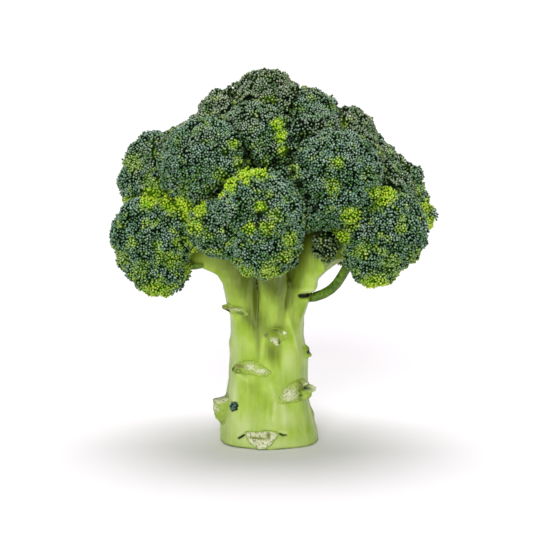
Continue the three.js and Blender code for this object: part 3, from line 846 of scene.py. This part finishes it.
# A floret's own settings, or these: how far it has grown up to its neighbours, how much of the cleft beside
# them is left, how yellow it is in the shade and in spots, how far its bloom has turned from blue green to
# dull grey, how far painted shade darkens its buds, its young patches as (across, up, radius, how yellow),
# and its hollows as (across, up, radius, how deep), whose buds are also painted dark as shade. Across and
# up are shares of its box.
usualFloret = {
    "packed": 0.95, "cleft": 1.0, "shadeYellow": 0.1, "spots": 0.25, "dull": 0.12, "hides": 1,
    "patches": [], "hollows": [],
}
floretSettings = {
    "front_centre": {
        "packed": 0.2, "shadeYellow": 0.5, "spots": 0.35,
        "patches": [
            (0.62, 1.0, 4, 1), (0.5, 0.97, 4, 1), (0.36, 0.9, 4, 1), (0.25, 0.82, 4, 0.8),
            (0.1, 0.66, 4, 1), (0.62, 0.7, 3.4, 0.8), (0.54, 0.52, 3.4, 0.8), (0.67, 0.52, 3.4, 0.6),
            (0.75, 0.62, 4, 0.4), (0.5, 0.08, 5, 0.45), (0.7, 0.1, 5, 0.5), (0.88, 0.4, 4, 0.5),
            (0.84, 0.25, 4, 0.4), (0.06, 0.5, 4, 0.7),
        ],
        "hollows": [(0.62, 0.64, 3.0, 1.8), (0.6, 0.54, 1.8, 1.2)],
    },
    "left_lower": {
        "packed": 0.25, "shadeYellow": 1.0, "spots": 0.5,
        "patches": [
            (0.4, 1.0, 6, 0.9), (0.62, 0.96, 6, 1), (0.8, 0.9, 6, 1), (0.85, 0.77, 5, 0.9),
            (0.85, 0.62, 5, 0.8), (0.45, 0.04, 8, 0.6), (0.3, 0.3, 5, 0.25), (0.62, 0.4, 5, 0.4),
            (0.9, 0.45, 5, 0.8), (0.12, 0.4, 4, 0.3), (0.98, 0.7, 6, 1), (0.98, 0.55, 5, 0.9),
        ],
    },
    "right_lower": {
        "packed": 0.25, "shadeYellow": 1.0, "spots": 0.4,
        "patches": [
            (0.55, 1.0, 6, 1), (0.4, 0.95, 6, 1), (0.22, 0.86, 6, 1), (0.16, 0.72, 5, 0.9),
            (0.45, 0.03, 8, 0.7), (0.3, 0.42, 4, 0.4), (0.6, 0.3, 5, 0.25), (0.1, 0.55, 4, 0.8),
            (0.9, 0.3, 5, 0.3), (0.75, 0.1, 6, 0.5),
        ],
    },
    "right_outer": {
        "packed": 0.5, "shadeYellow": 0.8, "spots": 0.5,
        "patches": [(0.65, 0.65, 3, 0.7), (0.85, 0.45, 4, 0.6), (0.85, 0.2, 6, 0.8), (0.5, 0.3, 6, 0.3)],
    },
    "left_upper": {
        "packed": 0.6, "shadeYellow": 0.5, "spots": 0.35, "dull": 0.3,
        "patches": [
            (0.8, 0.9, 4, 0.9), (0.5, 0.4, 5, 0.4), (0.2, 0.65, 5, 0.3), (0.15, 0.2, 4, 0.6),
            (0.45, 0.3, 5, 0.9), (0.7, 0.34, 5, 1), (0.9, 0.36, 5, 1),
        ],
    },
    "front_upper_left": {
        "packed": 0.5,
        "patches": [
            (0.85, 0.77, 3, 0.6), (0.9, 0.6, 3, 0.5), (0.72, 0.5, 4, 0.35), (0.3, 0.35, 3, 0.2),
            (0.7, 0.08, 3, 0.5), (0.25, 0.06, 5, 1), (0.4, 0.02, 5, 0.9), (0.08, 0.2, 4, 0.8),
            (0.29, 0.2, 5, 1), (0.36, 0.1, 4, 1),
        ],
        "hollows": [(0.97, 0.64, 2.4, 1.2), (0.98, 0.5, 2.6, 1.2), (0.97, 0.38, 2.4, 1.2)],
    },
    "front_upper_right": {
        "packed": 0.35, "shadeYellow": 0.2,
        "patches": [
            (0.64, 0.72, 3, 0.6), (0.6, 0.5, 4, 0.4), (0.3, 0.62, 3, 0.5), (0.75, 0.2, 5, 0.7),
            (0.2, 0.4, 4, 0.5), (0.95, 0.4, 4, 0.6),
        ],
        "hollows": [
            (0.25, 0.95, 3.0, 1.5), (0.26, 0.83, 3.0, 1.5), (0.24, 0.7, 3.0, 1.5), (0.29, 0.6, 2.6, 1.2),
            (0.35, 0.5, 2.8, 1.4), (0.41, 0.39, 2.8, 1.4), (0.47, 0.28, 2.4, 1.2),
        ],
    },
    "front_recess": {"packed": 0.0, "dull": 1.0, "hides": 0.45},
    "crown_top": {"dull": 0.95, "patches": [(0.47, 0.63, 4, 0.6), (0.5, 0.4, 4, 0.35)]},
    "crown_left": {"cleft": 0.4, "dull": 0.75, "patches": [(0.65, 0.65, 3, 0.8)]},
    "crown_right": {"cleft": 0.4, "dull": 0.55},
    "crown_front": {
        "shadeYellow": 0.05, "dull": 0.4,
        "patches": [(0.76, 0.74, 3, 1), (0.79, 0.6, 3, 0.9), (0.8, 0.45, 3, 0.7), (0.42, 0.3, 3, 0.5)],
        "hollows": [
            (0.86, 0.7, 2.2, 1.2), (0.88, 0.56, 2.4, 1.4), (0.85, 0.42, 2.4, 1.4), (0.78, 0.24, 2.6, 1.4),
            (0.6, 0.14, 2.4, 1.2), (0.3, 0.3, 2.2, 1.2), (0.26, 0.45, 2.2, 1.2),
        ],
    },
    "right_upper": {"cleft": 0.5, "dull": 0.8, "patches": [(0.2, 0.8, 3, 0.5), (0.8, 0.45, 4, 0.4)]},
    "right_shoulder": {"cleft": 0.5, "dull": 0.5, "patches": [(0.45, 0.7, 3, 0.5)]},
}


def settingsOf(node):
    return {**usualFloret, **floretSettings.get(node.replace("floret_", ""), {})}


# The outside of some florets with the clefts between them closed, which they have grown up to.
def makeEnvelope(nodes, swell):
    mesh = melted(nodes, swell=swell, **floretShape["envelopeMelt"])
    setPoints(mesh, pointsOf(mesh) - normalsOf(mesh) * swell)
    return treeOf(mesh)


# The flesh that a floret's buds stand on.
def makeBed(node, core, others, envelope, reach):
    s, own = floretShape, settingsOf(node)
    mesh = core.copy()
    points = pointsOf(mesh)
    spots = [Vector(p) for p in points.tolist()]
    nearest = np.array([envelope.find_nearest(spot)[0] for spot in spots])
    apart = np.array([others.find_nearest(spot)[3] for spot in spots])[:, None]
    step = nearest - points
    gap = np.linalg.norm(step, axis=1, keepdims=True)
    step *= np.sum(step * normalsOf(mesh), axis=1, keepdims=True) > 0
    beside = smoothStep(*s["cleftSpan"], apart)
    points += step * own["packed"] * (1 - own["cleft"] * beside) * smoothStep(reach, s["reachFull"], gap)
    setPoints(mesh, points)
    mesh = withModifiers(mesh, [("SMOOTH", s["evenedOut"])])
    points = pointsOf(mesh)
    lump = sum(height * softNoise(points, size) for size, height in s["lumps"])
    setPoints(mesh, points + normalsOf(mesh) * (lump - s["inset"])[:, None])
    return mesh


def randomPoints(mesh, count):
    mesh.calc_loop_triangles()
    corners = pointsOf(mesh)[[tuple(tri.vertices) for tri in mesh.loop_triangles]]
    cross = np.cross(corners[:, 1] - corners[:, 0], corners[:, 2] - corners[:, 0])
    area = np.linalg.norm(cross, axis=1)
    pick = rng.choice(len(area), count, p=area / area.sum())
    a, b = rng.random((2, count, 1))
    flip = a + b > 1
    a, b = np.where(flip, 1 - a, a), np.where(flip, 1 - b, b)
    where = corners[pick]
    spots = where[:, 0] + a * (where[:, 1] - where[:, 0]) + b * (where[:, 2] - where[:, 0])
    return spots, unit(cross[pick])


# Keeps points apart: add() says whether a point was far enough from all before it.
class Spread:
    def __init__(self, spacing):
        self.cells = {}
        self.spacing = spacing

    def add(self, spot, spacing):
        x, y, z = spot
        i, j, k = int(x // self.spacing), int(y // self.spacing), int(z // self.spacing)
        limit = spacing * spacing
        for a in (i - 1, i, i + 1):
            for b in (j - 1, j, j + 1):
                for c in (k - 1, k, k + 1):
                    for u, v, w in self.cells.get((a, b, c), ()):
                        if (u - x) ** 2 + (v - y) ** 2 + (w - z) ** 2 < limit:
                            return False
        self.cells.setdefault((i, j, k), []).append((x, y, z))
        return True


# Which of some points to keep so that they are at least this far apart.
def spreadOut(spots, spacing):
    apart = Spread(spacing)
    return [i for i, spot in enumerate(spots.tolist()) if apart.add(spot, spacing)]


# Two directions across each normal.
def sideways(normals):
    steep = np.abs(normals[:, 2:3]) < 0.9
    first = unit(np.cross(np.where(steep, [[0.0, 0.0, 1.0]], [[1.0, 0.0, 0.0]]), normals))
    return first, np.cross(normals, first)


# The share of the sky that a place on the crown sees.
def openness(spots, normals, tree):
    s = floretShape
    k = np.arange(s["rays"]) + 0.5
    height = 1 - k / s["rays"]
    ring = np.sqrt(1 - height ** 2)
    rays = np.stack([ring * np.cos(k * golden), ring * np.sin(k * golden), height], 1)
    first, second = sideways(normals)
    result = np.zeros(len(spots))
    for i, (spot, normal) in enumerate(zip(spots, normals)):
        directions = rays[:, :1] * first[i] + rays[:, 1:2] * second[i] + rays[:, 2:] * normal
        start = Vector(spot + normal * s["rayFrom"])
        hits = (tree.ray_cast(start, Vector(d), s["rayReach"])[0] for d in directions.tolist())
        result[i] = sum(hit is None for hit in hits)
    return result / s["rays"]


# Where a floret's branchlets spring from: the head of its stem.
def rootOf(node, centre):
    stem = pointsOf(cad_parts[node.replace("floret_", "stem_")].data)
    nearest = np.argsort(np.linalg.norm(stem - centre, axis=1))[:floretShape["rootPoints"]]
    return stem[nearest].mean(0)


# How far places are from a patch on the front of a floret's box, and which of them are on that front.
def patchOn(node, at, across, up):
    low, high = boxOf(node)
    centre = low + (high - low) * [across, 0, up]
    front = at[:, 1] < 0.5 * (low[1] + high[1]) + floretShape["frontPast"]
    return np.hypot(at[:, 0] - centre[0], at[:, 2] - centre[2]), front


# How far each place is in a hollow, 1 in its middle, and how deep the hollow is there.
def hollowAt(node, at):
    inside, lower = np.zeros((2, len(at)))
    for across, up, radius, depth in settingsOf(node)["hollows"]:
        far, front = patchOn(node, at, across, up)
        near = smoothStep(radius, floretShape["hollowFloor"] * radius, far) * front
        inside = np.maximum(inside, near)
        lower = np.maximum(lower, depth * near)
    return inside, lower


# How the buds stand. Lengths are millimetres, and the umbel's reach and the buds' own step are shares of
# spacings.
budShape = {
    "umbelTries": 5,
    "umbelSpacing": 5.8,
    "umbelReach": 0.72,
    "umbelDome": 1.7,
    "umbelUneven": (0.7, 1.3),
    "spacing": 1.12,
    "step": 0.525,
    "ownSpacing": 0.8,
    "fillTries": 6,
    "fillSpacing": 0.94,
    "facingFront": -0.05,
    "facingTop": (-0.5, -0.1),
    "leastSky": 0.02,
    "leanOut": 0.5,
    "unevenTilt": 0.3,
    "unevenLift": 0.28,
    "width": 1.42,
    "height": 1.9,
    "unevenWidth": (0.72, 1.2),
    "unevenHeight": (0.8, 1.2),
}


# Buds grow in umbels: each a little dome of buds set by the golden angle, with odd buds between the umbels.
def budLayout(node, bed, crownTree):
    s = budShape
    tree = treeOf(bed)
    root = rootOf(node, pointsOf(bed).mean(0))
    spots, normals = randomPoints(bed, s["umbelTries"] * len(bed.polygons))
    kept = spreadOut(spots, s["umbelSpacing"])
    umbels, axes = spots[kept], normals[kept]
    finder = KDTree(len(umbels))
    for i, spot in enumerate(umbels):
        finder.insert(spot, i)
    finder.balance()
    reach = s["umbelReach"] * s["umbelSpacing"]
    step = s["step"] * s["spacing"]
    order = np.arange(int((reach / step) ** 2)) + 0.5
    far = step * np.sqrt(order)
    first, second = sideways(axes)
    apart = Spread(s["spacing"])
    found = []

    def offer(spot, spacing, i=None):
        place, normal = tree.find_nearest(Vector(spot))[:2]
        _, nearest, distance = finder.find(place)
        if (i is None or nearest == i) and apart.add(tuple(place), spacing):
            found.append((place, normal, nearest, min(distance / reach, 1)))

    for i, umbel in enumerate(umbels):
        turn = order * golden + rng.random() * 2 * math.pi
        around = umbel + np.outer(far * np.cos(turn), first[i]) + np.outer(far * np.sin(turn), second[i])
        for spot in around.tolist():
            offer(spot, s["ownSpacing"] * s["spacing"], i)
    for spot in randomPoints(bed, s["fillTries"] * len(found))[0].tolist():
        offer(spot, s["fillSpacing"])
    at, outward, umbelOf, share = (np.array(values) for values in zip(*found))
    facing = np.sum(unit(at - root) * outward, axis=1)
    least, leastUp = s["facingTop"]
    keep = (facing > s["facingFront"]) | ((facing > least) & (outward[:, 2] > leastUp))
    at, outward, share, umbelOf = at[keep], outward[keep], share[keep], umbelOf[keep]
    sky = openness(at, outward, crownTree)
    keep = sky > s["leastSky"]
    at, outward, share, umbelOf, sky = at[keep], outward[keep], share[keep], umbelOf[keep], sky[keep]
    fromMiddle = (at - umbels[umbelOf]) / s["umbelSpacing"]
    axis = unit(outward + s["leanOut"] * fromMiddle + s["unevenTilt"] * rng.standard_normal(at.shape))
    lift = s["umbelDome"] * (1 - share ** 2) * rng.uniform(*s["umbelUneven"], len(umbels))[umbelOf]
    lift += s["unevenLift"] * rng.standard_normal(len(at))
    hollow, lower = hollowAt(node, at)
    lift -= lower
    tone = rng.random(len(umbels))[umbelOf]
    at = at + outward * lift[:, None]
    return {"at": at, "axis": axis, "sky": sky, "share": share, "tone": tone, "hollow": hollow}


# A closed bud: a tip, corners round its waist and the foot that it stands on, 10 triangles. budMap lays its
# faces out flat for baking: the tip in the middle, the waist round it, and the foot at the points of a
# star.
budSolid = {"sides": 5, "waist": 0.15, "waistOut": 0.55, "footOut": 1.0}


def budForm():
    s = budSolid
    sides = s["sides"]
    step = 2 * math.pi / sides
    waist = [(math.cos(step * i), math.sin(step * i)) for i in range(sides)]
    points = [(0, 0, 1), *[(x, y, s["waist"]) for x, y in waist], (0, 0, -1)]
    faces, flat = [], []
    for i in range(sides):
        j = (i + 1) % sides
        here, there = (tuple(s["waistOut"] * v for v in waist[k]) for k in (i, j))
        turn = step * (i + 0.5)
        foot = (s["footOut"] * math.cos(turn), s["footOut"] * math.sin(turn))
        faces += [(0, 1 + i, 1 + j), (sides + 1, 1 + j, 1 + i)]
        flat += [[(0, 0), here, there], [foot, there, here]]
    return np.array(points), np.array(faces), np.array(flat)


budPoints, budFaces, budMap = budForm()
budHeights = 0.5 + 0.5 * budPoints[:, 2]
mapShape = {"budShare": 0.85, "fill": 0.46, "spareColumns": 8}


# Places for numbered squares in rows across the map, with this many columns.
def cellsOf(count, columns):
    number = np.arange(count)
    return np.stack([number % columns, number // columns], 1) + 0.5


# A flat map for baking, in which every bud and every face of the flesh has a square of its own.
def addBakeMap(mesh, bedFaces, budCount):
    s = mapShape
    corners = np.array([(-1, -1), (1, -1), (1, 1), (-1, 1)])
    sizes = np.array([len(face) for face in bedFaces])
    inFace = np.arange(sizes.sum()) - np.repeat(np.cumsum(sizes) - sizes, sizes)
    columns = math.ceil(math.sqrt(len(bedFaces) / (1 - s["budShare"]))) + s["spareColumns"]
    bedCells = np.repeat(cellsOf(len(bedFaces), columns), sizes, axis=0)
    bedPlaces = (bedCells + corners[inFace] * s["fill"]) / columns
    columns = math.ceil(math.sqrt(budCount / s["budShare"])) + 1
    budPlaces = (cellsOf(budCount, columns)[:, None, None, :] + budMap[None] * s["fill"]) / columns
    budPlaces[..., 1] = 1 - budPlaces[..., 1]
    layer = mesh.uv_layers.new(name="OFBake")
    places = np.vstack([bedPlaces, budPlaces.reshape(-1, 2)])
    layer.data.foreach_set("uv", places.astype(np.float32).ravel())


# A bud at each place, on its axis and turned at random.
def budSolids(at, axis, width, height):
    s = budShape
    count = len(at)
    first, second = sideways(axis)
    turn = rng.random(count) * 2 * math.pi
    across = first * np.cos(turn)[:, None] + second * np.sin(turn)[:, None]
    along = np.cross(axis, across)
    half = 0.5 * width * rng.uniform(*s["unevenWidth"], count)
    tall = 0.5 * height * rng.uniform(*s["unevenHeight"], count)
    points = (at[:, None, :]
              + half[:, None, None] * budPoints[None, :, :1] * across[:, None, :]
              + half[:, None, None] * budPoints[None, :, 1:2] * along[:, None, :]
              + tall[:, None, None] * budPoints[None, :, 2:] * axis[:, None, :])
    faces = budFaces[None] + len(budPoints) * np.arange(count)[:, None, None]
    return points.reshape(-1, 3), faces.reshape(-1, 3)


# How young buds come and go, in millimetres and in shares of the sky.
youngShape = {
    "uneven": 0.35,
    "spotSize": 4.4,
    "spotShift": 3.0,
    "spotSpan": (0.15, 0.5),
    "shadeSpan": (0.62, 0.3),
    "wander": 1.6,
    "wanderSize": 3.0,
    "wanderShift": 9.0,
    "patchBoost": 1.25,
    "patchEdge": (1.2, 0.5),
    "spotsUneven": 0.2,
    "shadeUneven": 0.1,
    "patchUneven": 0.5,
    "budUneven": 0.5,
}


# How young and yellow each bud is, from 0 to 1.
def youngness(node, at, sky):
    s, own = youngShape, settingsOf(node)
    uneven = s["uneven"] * rng.standard_normal(len(at))
    spots = softNoise(at, s["spotSize"], s["spotShift"]) + s["spotsUneven"] * uneven
    young = own["spots"] * smoothStep(*s["spotSpan"], spots)
    shade = smoothStep(*s["shadeSpan"], sky + s["shadeUneven"] * uneven) * own["shadeYellow"]
    young = np.maximum(young, shade)
    wander = s["wander"] * softNoise(at, s["wanderSize"], s["wanderShift"])
    for across, up, radius, much in own["patches"]:
        far, front = patchOn(node, at, across, up)
        start, end = (edge * radius for edge in s["patchEdge"])
        patch = smoothStep(start, end, far + wander + s["patchUneven"] * uneven)
        young = np.maximum(young, s["patchBoost"] * much * patch * front)
    return np.clip(young * (1 + s["budUneven"] * uneven), 0, 1)


# How the wax bloom lies: thick where a bud sees the sky and faces up, thinner at an umbel's edge, and in
# patches. As the bloom is pale, this also paints light on buds that see the sky and face up.
bloomShape = {
    "skySpan": (0.3, 0.75),
    "patchSize": 8,
    "patchShift": 4.0,
    "patch": 0.9,
    "umbel": 0.5,
    "edge": 0.35,
    "upSpan": (-0.7, 0.5),
    "downShare": 0.4,
    "least": 0.4,
    "most": 0.75,
    "uneven": 0.28,
}


def bloomOn(buds):
    s = bloomShape
    lit = smoothStep(*s["skySpan"], buds["sky"])
    patch = 0.5 + s["patch"] * softNoise(buds["at"], s["patchSize"], s["patchShift"])
    patch += s["umbel"] * (buds["tone"] - 0.5)
    edge = 1 - s["edge"] * buds["share"] ** 2
    edge *= s["downShare"] + (1 - s["downShare"]) * smoothStep(*s["upSpan"], buds["axis"][:, 2])
    uneven = s["uneven"] * rng.standard_normal(len(lit))
    return np.clip(lit * edge * (s["least"] + s["most"] * patch) + uneven, 0, 1)


# How painted shade darkens buds: in clefts, where little sky is seen, and in hollows. Young ones show
# through it.
shadeShape = {
    "dullSize": 12,
    "dullShift": 6.0,
    "dullUneven": 0.5,
    "skySpan": (0.6, 0.22),
    "most": 0.9,
    "youngShows": 0.95,
    "inHollow": 0.95,
    "bareFacing": (-0.05, 0.4),
    "bareDown": (0.1, 0.5),
}


# How dull each bud's bloom is, and how far painted shade darkens it.
def shadeOn(node, buds, young, others):
    s, own, reach = shadeShape, settingsOf(node), floretShape["cleftShade"]
    dull = own["dull"] + s["dullUneven"] * softNoise(buds["at"], s["dullSize"], s["dullShift"])
    found = [others.find_nearest(Vector(spot), reach)[3] for spot in buds["at"].tolist()]
    apart = np.array([reach if gap is None else gap for gap in found])
    inCleft = smoothStep(reach, floretShape["cleftShadeFull"] * reach, apart)
    hidden = np.maximum(s["most"] * smoothStep(*s["skySpan"], buds["sky"]), s["most"] * inCleft)
    hidden = hidden * (1 - s["youngShows"] * young) * own["hides"]
    return np.clip(dull, 0, 1), np.maximum(hidden, s["inHollow"] * buds["hollow"])


def makeFloret(node, bed, others, crownTree):
    buds = budLayout(node, bed, crownTree)
    count = len(buds["at"])
    young = youngness(node, buds["at"], buds["sky"])
    bloom = bloomOn(buds)
    dull, hidden = shadeOn(node, buds, young, others)
    points, faces = budSolids(buds["at"], buds["axis"], budShape["width"], budShape["height"])
    bedPoints = pointsOf(bed)
    bedFaces = facesOf(bed)
    mesh = meshFrom(np.vstack([bedPoints, points]), bedFaces + (faces + len(bedPoints)).tolist())
    isBud = np.arange(len(mesh.polygons)) >= len(bedFaces)
    mesh.polygons.foreach_set("material_index", isBud.astype(np.int32))
    addBakeMap(mesh, bedFaces, count)
    # In hollows the flesh keeps its near-black colour as painted shade, without young yellow.
    bedYoung = youngness(node, bedPoints, np.ones(len(bedPoints))) * (1 - hollowAt(node, bedPoints)[0])
    facing = np.sum(unit(bedPoints - rootOf(node, bedPoints.mean(0))) * normalsOf(bed), axis=1)
    bare = smoothStep(*shadeShape["bareFacing"], -facing)
    bare *= smoothStep(*shadeShape["bareDown"], -normalsOf(bed)[:, 2])
    values = {"luck": rng.random(count), "young": young, "bloom": bloom, "dull": dull, "hidden": hidden}
    values["bare"] = np.zeros(count)
    layers = {name: np.repeat(value, len(budPoints)) for name, value in values.items()}
    layers["tip"] = np.tile(budHeights, count)
    onBed = {"young": bedYoung, "bare": bare}
    for name, value in layers.items():
        setValues(mesh, **{name: np.concatenate([onBed.get(name, np.zeros(len(bedPoints))), value])})
    return mesh, count


branchletShape = {
    "most": 12,
    "tries": 400,
    "spacing": 7.0,
    "facing": 0.25,
    "thick": (1.7, 1.0),
    "sides": 6,
    "steps": 6,
    "sag": 0.35,
}


# Branchlets spread from the head of each stem to the bare underside of its floret.
def makeBranchlets(beds):
    s = branchletShape
    sides, (footRadius, headRadius) = s["sides"], s["thick"]
    points, faces = [], []
    turn = np.arange(sides) * 2 * math.pi / sides
    for node, bed in beds.items():
        centre = pointsOf(bed).mean(0)
        root = rootOf(node, centre)
        spots, normals = randomPoints(bed, s["tries"])
        under = np.sum(unit(spots - root) * normals, axis=1) < s["facing"]
        spots, normals = spots[under], normals[under]
        forward = unit(centre - root)
        for i in spreadOut(spots, s["spacing"])[:s["most"]]:
            away = spots[i] - root
            bend = root + away * 0.5 - forward * s["sag"] * np.linalg.norm(away) * 0.5
            end = spots[i] - normals[i] * headRadius
            first, second = sideways(unit(end - root)[None])
            base = len(points)
            last = base + s["steps"] * sides
            for t in np.arange(s["steps"] + 1) / s["steps"]:
                middle = (1 - t) ** 2 * root + 2 * t * (1 - t) * bend + t * t * end
                radius = footRadius + (headRadius - footRadius) * t
                ring = np.cos(turn)[:, None] * first + np.sin(turn)[:, None] * second
                points.extend(middle + radius * ring)
            for start in range(base, last, sides):
                for k in range(sides):
                    a, b = start + k, start + (k + 1) % sides
                    faces.append((a, b, b + sides, a + sides))
            faces.append(tuple(range(base, base + sides))[::-1])
            faces.append(tuple(range(last, last + sides)))
    addPiece("branchlets", meshFrom(points, faces), [branchletSkin])
    print("branchlets ready:", len(faces), "faces")


# The florets of the top have grown together. The others keep their clefts.
def makeCrown():
    s = floretShape
    top = [node for node in floretNodes if node.startswith(("floret_crown", "floret_back_upper"))]
    merged = {node: top if node in top else [node] for node in floretNodes}
    envelope = makeEnvelope(floretNodes, s["envelope"]["swell"]), s["envelope"]["reach"]
    topEnvelope = makeEnvelope(top, s["topEnvelope"]["swell"]), s["topEnvelope"]["reach"]
    cores = {node: melted([node], **s["melt"]) for node in floretNodes}
    beds = {}
    for node in floretNodes:
        others = treeOf(*[core for other, core in cores.items() if other not in merged[node]])
        beds[node] = makeBed(node, cores[node], others, *(topEnvelope if node in top else envelope))
    crownTree = treeOf(*beds.values(), stalkMesh)
    print("beds ready")
    makeBranchlets(beds)
    total = 0
    for node in floretNodes:
        others = treeOf(*[bed for other, bed in beds.items() if other not in merged[node]])
        mesh, count = makeFloret(node, beds[node], others, crownTree)
        addPiece(node.replace("floret", "buds"), mesh, [bedSkin, budSkin], [node])
        total += count
    print("buds ready:", total)


makeCrown()


axilShape = {
    "melt": {"voxel": 0.5, "swell": 0.0, "rounds": 4},
    "inset": 0.45,
    "tries": 900,
    "scales": 34,
    "width": 1.9,
    "height": 1.7,
}


# The dormant bud: a small core with blunt scales all over it.
def makeAxilBud():
    s = axilShape
    mesh = melted(["axil_bud"], **s["melt"])
    setPoints(mesh, pointsOf(mesh) - normalsOf(mesh) * s["inset"])
    spots, normals = randomPoints(mesh, s["tries"])
    kept = spreadOut(spots, 0.5 * s["width"])[:s["scales"]]
    points, faces = budSolids(spots[kept], normals[kept], s["width"], s["height"])
    core = pointsOf(mesh)
    bud = meshFrom(np.vstack([core, points]), facesOf(mesh) + (faces + len(core)).tolist())
    setValues(bud, tip=np.concatenate([np.zeros(len(core)), np.tile(budHeights, len(kept))]))
    return bud


addPiece("axil_bud_scales", makeAxilBud(), [axilSkin], ["axil_bud"])
print("axil bud ready")


# Floor, lights and camera. Lengths are millimetres, angles degrees and the lights' power watts per square
# metre.
stageShape = {
    "floorHalf": 40000,
    "floorBelow": 0.3,
    "viewHeight": 82.3,
    "viewDistance": 1000,
    "viewElevation": 8,
    "lens": 140.33,
    "sensor": 36,
    "viewEnd": 200000,
    "roomLight": 0.3,
    "lights": {
        "overhead_softbox": {"power": 2.1, "softness": 55, "turn": (-15, 0, 0)},
        "front_softbox": {"power": 1.8, "softness": 25, "turn": (66, 0, -6)},
    },
}


def setStage():
    s = stageShape
    half, level = s["floorHalf"], -s["floorBelow"]
    corners = [(-half, -half, level), (half, -half, level), (half, half, level), (-half, half, level)]
    mesh = meshFrom(corners, [(0, 1, 2, 3)])
    mesh.materials.append(paperMaterial())
    floor = addObject("floor", mesh)
    world = bpy.data.worlds.new("white_room")
    bpy.context.scene.world = world
    world.use_nodes = True
    room = world.node_tree.nodes["Background"]
    room.inputs["Color"].default_value = (1, 1, 1, 1)
    room.inputs["Strength"].default_value = s["roomLight"]
    for name, settings in s["lights"].items():
        data = bpy.data.lights.new(name, "SUN")
        data.energy = settings["power"]
        data.angle = math.radians(settings["softness"])
        addObject(name, data).rotation_euler = [math.radians(angle) for angle in settings["turn"]]
    data = bpy.data.cameras.new("camera")
    data.lens = s["lens"]
    data.sensor_width = s["sensor"]
    data.clip_end = s["viewEnd"] * mm
    camera = addObject("camera", data)
    elevation = math.radians(s["viewElevation"])
    forward = Vector((0, math.cos(elevation), -math.sin(elevation)))
    camera.location = (Vector((0, 0, s["viewHeight"])) - forward * s["viewDistance"]) * mm
    camera.rotation_euler = forward.to_track_quat("-Z", "Y").to_euler()
    bpy.context.scene.camera = camera
    bpy.context.scene.view_settings.view_transform = "Standard"


setStage()
print("stage ready")
